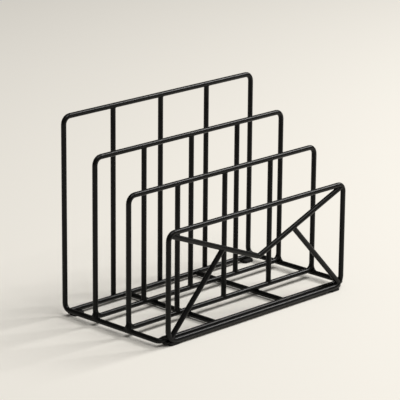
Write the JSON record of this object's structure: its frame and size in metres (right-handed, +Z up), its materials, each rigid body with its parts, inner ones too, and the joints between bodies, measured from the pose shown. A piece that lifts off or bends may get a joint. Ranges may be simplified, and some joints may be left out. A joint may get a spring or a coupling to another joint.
{
  "type": "desktop letter rack",
  "caption": "Bent steel-wire desktop rack whose stepped upright frames sort letters into open slots; wires in the low front frame draw an envelope.",
  "frame": {"origin": "middle of the footprint at the table, on the rubber feet's undersides", "axes": "+X to the right of somebody facing the rack, -Y towards the low front frame with the envelope outline, +Z up"},
  "size_m": [0.2448, 0.1298, 0.1864],
  "materials": {
    "black_powder_coat": "satin black powder coat",
    "black_rubber": "matt black moulded rubber"
  },
  "bodies": {
    "root": {"envelope_flap_wire": "black_powder_coat", "envelope_fold_wire_left": "black_powder_coat", "envelope_fold_wire_right": "black_powder_coat", "front_foot_left": "black_rubber", "front_foot_right": "black_rubber", "front_frame_loop": "black_powder_coat", "inner_base_rail_left": "black_powder_coat", "inner_base_rail_right": "black_powder_coat", "rear_crossbar": "black_powder_coat", "rear_foot_left": "black_rubber", "rear_foot_right": "black_rubber", "rear_frame_and_base_wire": "black_powder_coat", "rear_upright_left": "black_powder_coat", "rear_upright_middle": "black_powder_coat", "rear_upright_right": "black_powder_coat", "second_divider_loop": "black_powder_coat", "second_divider_upright_left": "black_powder_coat", "second_divider_upright_middle": "black_powder_coat", "second_divider_upright_right": "black_powder_coat", "third_divider_loop": "black_powder_coat", "third_divider_upright_left": "black_powder_coat", "third_divider_upright_middle": "black_powder_coat", "third_divider_upright_right": "black_powder_coat"}
  },
  "joints": []
}
